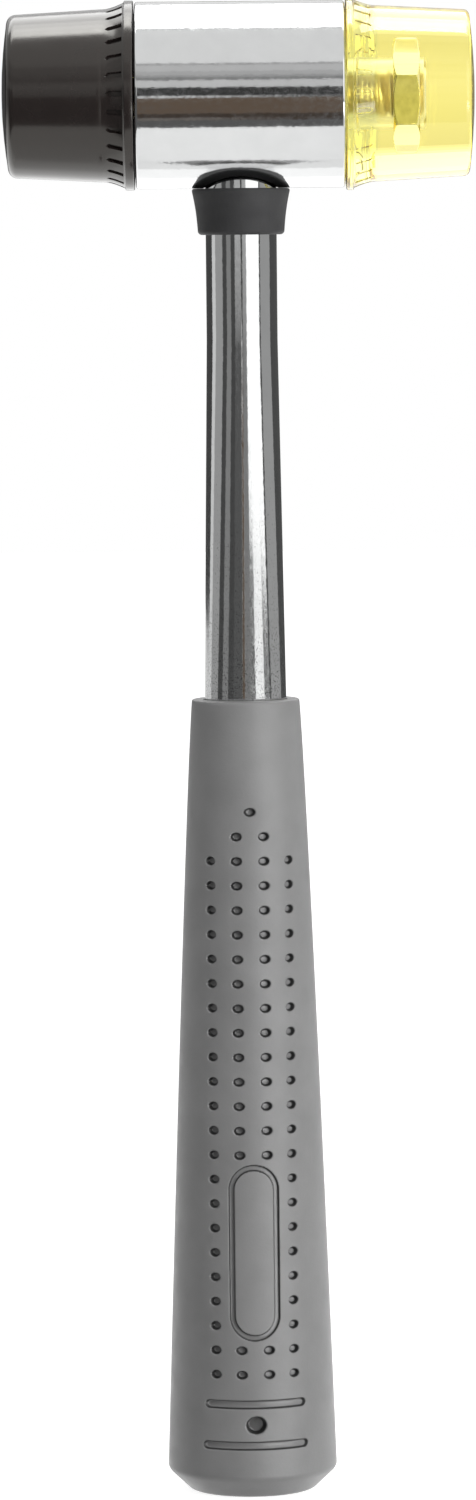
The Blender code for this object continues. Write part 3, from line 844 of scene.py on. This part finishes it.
def clear_plastic_material():
    """Clear yellow, duller in the fluted band by the head and rougher in the bore round the stud."""
    material, tree, shader = new_material("clear_yellow_plastic", Transmission_Weight=1.0, IOR=1.49)
    band_tint = (0.84, 0.875, 0.80)
    body_tint = (1.0, 0.975, 0.84)
    band_end = HEAD_HALF + 6.0 * MM
    body_start = HEAD_HALF + 7.5 * MM
    past_band = add_range(tree, add_place(tree)["X"], 0.0, 1.0, band_end, body_start)
    tint = add_colours(tree, past_band, band_tint, body_tint, 0.0, 1.0)
    tree.links.new(tint, shader.inputs["Base Color"])
    smear = add_range(tree, add_noise(tree, 320.0, 3.0), 0.01, 0.04)
    inside = add_core_mask(tree, MOULD_CORE_RADIUS, HEAD_HALF + BORE_END)
    roughness = tree.nodes.new("ShaderNodeMapRange")
    roughness.inputs["To Max"].default_value = 0.30
    tree.links.new(inside, roughness.inputs["Value"])
    tree.links.new(smear, roughness.inputs["To Min"])
    tree.links.new(roughness.outputs["Result"], shader.inputs["Roughness"])
    add_bump(tree, shader, add_noise(tree, 130.0, 2.0), 0.00001)
    volume = tree.nodes.new("ShaderNodeVolumeAbsorption")
    volume.inputs["Color"].default_value = (0.993, 0.92, 0.03, 1.0)
    volume.inputs["Density"].default_value = 34.0
    tree.links.new(volume.outputs["Volume"], tree.nodes["Material Output"].inputs["Volume"])
    return material


HEAD_CHROME = chrome_material("head_chrome", 1300.0, (0.6, 1.0, 1.0), 0.000008)
TUBE_CHROME = chrome_material("tube_chrome", 2600.0, (1.0, 1.0, 0.25), 0.000004, pitted=True)
YELLOW_ZINC = zinc_material("yellow_zinc", (0.52, 0.50, 0.20), (0.68, 0.66, 0.30))
WARM_ZINC = zinc_material("warm_zinc", (0.72, 0.64, 0.40), (0.86, 0.78, 0.54))
BLACK_RUBBER = rubber_material(
    "black_rubber",
    (0.0150, 0.0110, 0.0104),
    (0.0176, 0.0132, 0.0125),
    (0.15, 0.20),
    1500.0,
    0.000003,
    tint=(1.0, 0.985, 0.92, 1.0),
)
COLLAR_RUBBER = rubber_material(
    "collar_rubber", (0.026, 0.026, 0.027), (0.038, 0.038, 0.039), (0.58, 0.70), 2400.0, 0.00002, 0.3
)
GREY_RUBBER = grip_material()
CLEAR_PLASTIC = clear_plastic_material()

add_piece("chromed_head", head_shape(), HEAD_CHROME, "mallet", "head_body")
add_piece("chromed_tube", tube_shape(), TUBE_CHROME, "mallet", "handle_tube")
add_piece("collar", collar_shape(), COLLAR_RUBBER, "mallet", "neck_collar", 50)
add_piece("moulded_grip", grip_shape(), GREY_RUBBER, "mallet", "grip", 70)
rubber_tip = tip_shape(
    -1,
    length=27.5 * MM,
    flange_proud=0.3 * MM,
    flange_width=2.25 * MM,
    flute_depth=0.75 * MM,
    edge_radius=2.0 * MM,
    crown=1.2 * MM,
)
clear_tip = tip_shape(
    1,
    length=26.8 * MM,
    flange_proud=0.6 * MM,
    flange_width=1.8 * MM,
    flute_depth=0.24 * MM,
    edge_radius=1.2 * MM,
    crown=1.1 * MM,
)
add_piece("rubber_tip", rubber_tip, BLACK_RUBBER, "black_tip_unit", "black_tip")
add_piece("clear_tip", clear_tip, CLEAR_PLASTIC, "yellow_tip_unit", "yellow_tip")
for colour, side in (("black", -1), ("yellow", 1)):
    tip = f"{colour}_tip"
    nut = nut_shape(side)
    stud = stud_shape(side)
    add_piece(f"{colour}_hex_nut", nut, YELLOW_ZINC, f"{tip}_unit", f"{tip}_nut", 25)
    add_piece(f"{colour}_threaded_stud", stud, WARM_ZINC, f"{colour}_stud", f"{tip}_stud", 60)
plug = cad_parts["tube_plug"]
plug.data.materials.clear()
plug.data.materials.append(YELLOW_ZINC)

# Stage: a white floor, a lamp, and cards that only reflections and the clear plastic see
AMBIENT_FROM = Vector((0.0, 0.6, 0.8))
AMBIENT_LOW = 0.06
AMBIENT_HIGH = 0.92
CARD_DISTANCE = 3.0
CARD_CENTRE = Vector((0.0, 0.0, HEAD_AXIS))


def emission_material(name, colour, strength=1.0):
    material = bpy.data.materials.new(name)
    material.use_nodes = True
    tree = material.node_tree
    tree.nodes.clear()
    glow = tree.nodes.new("ShaderNodeEmission")
    glow.inputs["Color"].default_value = (*colour, 1.0)
    glow.inputs["Strength"].default_value = strength
    output = tree.nodes.new("ShaderNodeOutputMaterial")
    tree.links.new(glow.outputs["Emission"], output.inputs["Surface"])
    return material


def add_card(name, azimuths, elevations, colour, reflects=True, shines_through=False):
    """A card on a sphere round the part. Azimuth runs from the front to the right, in degrees."""
    steps = 12
    points = []
    for elevation in np.radians(np.linspace(*elevations, steps + 1)):
        for azimuth in np.radians(np.linspace(*azimuths, steps + 1)):
            flat = math.cos(elevation)
            points.append((flat * math.sin(azimuth), -flat * math.cos(azimuth), math.sin(elevation)))
    row = steps + 1
    faces = []
    for i in range(steps):
        for j in range(steps):
            faces.append((i * row + j, i * row + j + 1, (i + 1) * row + j + 1, (i + 1) * row + j))
    mesh = bpy.data.meshes.new(name)
    mesh.from_pydata([CARD_CENTRE + CARD_DISTANCE * Vector(point) for point in points], [], faces)
    mesh.materials.append(emission_material(name, colour))
    card = bpy.data.objects.new(name, mesh)
    card.visible_camera = False
    card.visible_diffuse = False
    card.visible_shadow = False
    card.visible_glossy = reflects
    card.visible_transmission = shines_through
    bpy.context.scene.collection.objects.link(card)


def grey(level):
    return (level, level, level)


def add_grade(name, azimuths, elevations, colours, **seen_by):
    """Cards one above the other, each with its own colour between the listed elevations."""
    for i, colour in enumerate(colours):
        add_card(f"{name}_{i}", azimuths, elevations[i:i + 2], colour, **seen_by)


WHITE = (1.0, 1.0, 1.0)
CREAM = (0.84, 0.82, 0.60)
BROWN = (0.178, 0.130, 0.096)
DARK_BROWN = (0.078, 0.060, 0.049)
PALE_BROWN = (0.235, 0.212, 0.195)
BEHIND = (120, 240)
BESIDE_LENS = (-2.5, 2.5)
BELOW_LENS = (-2.2, 2.2)
TOWARDS_WINDOW = (15, 58)
FRONT_LEFT = (-22, BESIDE_LENS[0])
FRONT_RIGHT = (BESIDE_LENS[1], TOWARDS_WINDOW[0])
TABLE_EDGE = -41.5
FLOOR_END = -32.2
FLOOR_MARK = -29
FLOOR_SHADE = -24
RUG_END = -9
RAIL = (-4.7, -1.9)
SKIRTING = (-3, -1.2)
WALL_TOP = 8.0
SIDE_TOP = 12
WINDOW_FOOT = (-11, -6.6)


def creamy(share):
    return tuple(white + (cream - white) * share for white, cream in zip(WHITE, CREAM))


# Behind the part: what the clear plastic shows and what lights its back
THROUGH = {"reflects": False, "shines_through": True}
add_card("softbox_back", (130, 230), (33, 60), grey(4.5))
add_grade("softbox_above", (90, 270), (60, 70, 80, 90), [grey(7.0), grey(9.5), grey(12.0)])
add_grade("table_back", (90, 270), (-90, -75, -55, -12), [grey(1.3), grey(1.65), grey(1.95)])
add_grade(
    "table_through", BEHIND, (-46, -38, -35, -33, -31, -29, -24),
    [grey(1.5), grey(1.4), grey(1.3), grey(1.2), grey(1.05), creamy(0.6)], **THROUGH,
)
add_grade("backdrop_low", BEHIND, range(-24, -7, 2), [creamy(0.72 - 0.08 * i) for i in range(8)], **THROUGH)
add_grade("backdrop_high", BEHIND, range(6, 29, 2), [creamy(0.10 + 0.06 * i) for i in range(11)], **THROUGH)
add_grade(
    "softbox_through", BEHIND, (28, 30, 32, 34, 60),
    [grey(1.05), grey(1.3), grey(1.7), grey(2.4)], **THROUGH,
)
add_card("softbox_through_above", (0, 360), (60, 90), grey(1.5), **THROUGH)

# Ahead: the room that the head shows as bands
add_card("ceiling", (-90, 90), (40, 86), grey(1.12))
add_grade(
    "wall", (-75, TOWARDS_WINDOW[0]), (8, 17, 20.3, 23, 28, 35.6, 38.2, 40),
    [grey(level) for level in (0.84, 0.35, 0.50, 0.64, 0.76, 0.58, 1.12)],
)
add_card("camera_body", BESIDE_LENS, (RAIL[1], WALL_TOP), grey(0.060))
add_card("bright_rail_left", (BESIDE_LENS[0], -0.1), RAIL, grey(0.86))
add_card("bright_rail_middle", (-0.1, 0.5), RAIL, grey(0.50))
add_card("bright_rail_right", (0.5, BESIDE_LENS[1]), RAIL, grey(0.16))
add_card("wooden_floor", BELOW_LENS, (FLOOR_SHADE, RAIL[0]), BROWN)
add_card("floor_shade", BELOW_LENS, (FLOOR_MARK, FLOOR_SHADE), DARK_BROWN)
add_card("floor_edge", (BELOW_LENS[0], 0.2), (FLOOR_END, FLOOR_MARK), PALE_BROWN)
add_card("floor_edge_right", (0.2, BELOW_LENS[1]), (FLOOR_END, FLOOR_MARK), DARK_BROWN)
add_card("table_edge", BELOW_LENS, (TABLE_EDGE, FLOOR_END), grey(0.15))
add_card("rug_left", (-75, BELOW_LENS[0]), (TABLE_EDGE, RUG_END), grey(0.15))
add_card("rug_right", (BELOW_LENS[1], TOWARDS_WINDOW[0]), (TABLE_EDGE, RUG_END), grey(0.28))
add_card("table_front", (-90, 90), (-90, TABLE_EDGE), grey(1.36))

# Round about: what the tube shows as upright stripes
add_card("right_window", TOWARDS_WINDOW, (WINDOW_FOOT[1], 40), grey(1.9))
add_card("window_frame_left", (TOWARDS_WINDOW[0], 24), WINDOW_FOOT, grey(0.24))
add_card("window_foot", (24, 44), WINDOW_FOOT, grey(1.4))
add_card("window_frame_right", (44, TOWARDS_WINDOW[1]), WINDOW_FOOT, grey(0.30))
add_grade(
    "table_glare", TOWARDS_WINDOW, (-26, -22, -18, -14, WINDOW_FOOT[0]),
    [grey(level) for level in (3.0, 6.0, 8.0, 5.0)],
)
add_card("table_right", TOWARDS_WINDOW, (TABLE_EDGE, -26), grey(1.3))
for name, azimuths, elevations, level in (
    ("left_flag", (-180, -112), (-5.3, SIDE_TOP), 0.08),
    ("left_window", (-112, -95), (RUG_END, SIDE_TOP), 0.95),
    ("left_wall", (-95, -65), (RUG_END, WALL_TOP), 0.49),
    ("left_stand", (-65, -50), (RUG_END, WALL_TOP), 0.095),
    ("left_cloth", (-50, -35), (RUG_END, WALL_TOP), 0.34),
    ("left_stand_front", (-35, FRONT_LEFT[0]), (RUG_END, WALL_TOP), 0.095),
    ("front_left_wall", FRONT_LEFT, (SKIRTING[1], WALL_TOP), 0.68),
    ("front_left_skirting", FRONT_LEFT, SKIRTING, 0.32),
    ("front_left_rug", FRONT_LEFT, (RUG_END, SKIRTING[0]), 0.14),
    ("front_right_wall", FRONT_RIGHT, (SKIRTING[1], WALL_TOP), 0.61),
    ("front_right_skirting", FRONT_RIGHT, SKIRTING, 0.42),
    ("front_right_rug", FRONT_RIGHT, (RUG_END, SKIRTING[0]), 0.32),
    ("right_stand", (TOWARDS_WINDOW[1], 63), (RUG_END, SIDE_TOP), 0.10),
    ("right_wall", (63, 104), (RUG_END, SIDE_TOP), 0.50),
    ("right_flag", (104, 180), (-7.5, SIDE_TOP), 0.11),
):
    add_card(name, azimuths, elevations, grey(level))


def add_lamp(name, location, target, width, height, radiance):
    """A lamp that lights the part and isn't mirrored in it."""
    data = bpy.data.lights.new(name, "AREA")
    data.shape = "RECTANGLE"
    data.size = width
    data.size_y = height
    data.energy = radiance * math.pi * width * height
    lamp = bpy.data.objects.new(name, data)
    lamp.location = location
    lamp.rotation_euler = (Vector(target) - Vector(location)).to_track_quat("-Z", "Y").to_euler()
    lamp.visible_glossy = False
    bpy.context.scene.collection.objects.link(lamp)


MIDDLE = (0.0, 0.0, 0.16)
add_lamp("softbox_right", (0.98, -1.04, 0.34), MIDDLE, width=0.60, height=0.9, radiance=11.4)


def white_floor():
    """A floor that takes shadows and looks white to the camera. Reflections don't see it."""
    size = 4.0
    below_part = 0.2 * MM
    mesh = bpy.data.meshes.new("floor")
    corners = [(-size, -size, 0), (size, -size, 0), (size, size, 0), (-size, size, 0)]
    mesh.from_pydata(corners, [], [(0, 1, 2, 3)])
    material = bpy.data.materials.new("floor_white")
    material.use_nodes = True
    tree = material.node_tree
    tree.nodes.clear()
    diffuse = tree.nodes.new("ShaderNodeBsdfDiffuse")
    diffuse.inputs["Color"].default_value = (0.45, 0.45, 0.45, 1.0)
    glow = tree.nodes.new("ShaderNodeEmission")
    path = tree.nodes.new("ShaderNodeLightPath")
    strength = tree.nodes.new("ShaderNodeMath")
    strength.operation = "MULTIPLY"
    strength.inputs[1].default_value = 0.88
    both = tree.nodes.new("ShaderNodeAddShader")
    output = tree.nodes.new("ShaderNodeOutputMaterial")
    tree.links.new(path.outputs["Is Camera Ray"], strength.inputs[0])
    tree.links.new(strength.outputs["Value"], glow.inputs["Strength"])
    tree.links.new(diffuse.outputs["BSDF"], both.inputs[0])
    tree.links.new(glow.outputs["Emission"], both.inputs[1])
    tree.links.new(both.outputs["Shader"], output.inputs["Surface"])
    mesh.materials.append(material)
    floor = bpy.data.objects.new("floor", mesh)
    floor.location.z = -below_part
    floor.visible_glossy = False
    floor.visible_transmission = False
    bpy.context.scene.collection.objects.link(floor)


def white_world():
    """White to the camera, to reflections and through the plastic, with light from above and behind."""
    world = bpy.data.worlds.new("studio")
    world.use_nodes = True
    tree = world.node_tree
    tree.nodes.clear()
    path = tree.nodes.new("ShaderNodeLightPath")
    seen = tree.nodes.new("ShaderNodeMath")
    seen.operation = "MAXIMUM"
    bright = tree.nodes.new("ShaderNodeMath")
    bright.operation = "MAXIMUM"
    place = tree.nodes.new("ShaderNodeTexCoord")
    towards = tree.nodes.new("ShaderNodeVectorMath")
    towards.operation = "DOT_PRODUCT"
    towards.inputs[1].default_value = AMBIENT_FROM
    ambient = tree.nodes.new("ShaderNodeMapRange")
    ambient.inputs["From Min"].default_value = -1.0
    ambient.inputs["From Max"].default_value = 1.0
    ambient.inputs["To Min"].default_value = AMBIENT_LOW
    ambient.inputs["To Max"].default_value = AMBIENT_HIGH
    level = tree.nodes.new("ShaderNodeMapRange")
    level.inputs["To Max"].default_value = 1.0
    background = tree.nodes.new("ShaderNodeBackground")
    background.inputs["Color"].default_value = (1.0, 1.0, 1.0, 1.0)
    output = tree.nodes.new("ShaderNodeOutputWorld")
    tree.links.new(path.outputs["Is Camera Ray"], seen.inputs[0])
    tree.links.new(path.outputs["Is Glossy Ray"], seen.inputs[1])
    tree.links.new(seen.outputs["Value"], bright.inputs[0])
    tree.links.new(path.outputs["Is Transmission Ray"], bright.inputs[1])
    tree.links.new(place.outputs["Generated"], towards.inputs[0])
    tree.links.new(towards.outputs["Value"], ambient.inputs["Value"])
    tree.links.new(ambient.outputs["Result"], level.inputs["To Min"])
    tree.links.new(bright.outputs["Value"], level.inputs["Value"])
    tree.links.new(level.outputs["Result"], background.inputs["Strength"])
    tree.links.new(background.outputs["Background"], output.inputs["Surface"])
    bpy.context.scene.world = world


def add_camera():
    """The photo's viewpoint: ahead of the part, looking down a little, with a slight roll."""
    data = bpy.data.cameras.new("camera")
    data.lens = 144.23
    data.sensor_width = 36.0
    data.clip_start = 0.05
    camera = bpy.data.objects.new("camera", data)
    pitch = math.radians(90.0 - 4.83)
    roll = math.radians(-0.55)
    place = Matrix.Translation((-1.75 * MM, -1.3, 0.272))
    camera.matrix_world = place @ Matrix.Rotation(pitch, 4, "X") @ Matrix.Rotation(roll, 4, "Z")
    bpy.context.scene.collection.objects.link(camera)
    bpy.context.scene.camera = camera


white_floor()
white_world()
add_camera()
bpy.context.scene.view_settings.view_transform = "Standard"
bpy.context.scene.cycles.max_bounces = 24
bpy.context.scene.cycles.glossy_bounces = 16
bpy.context.scene.cycles.transmission_bounces = 24
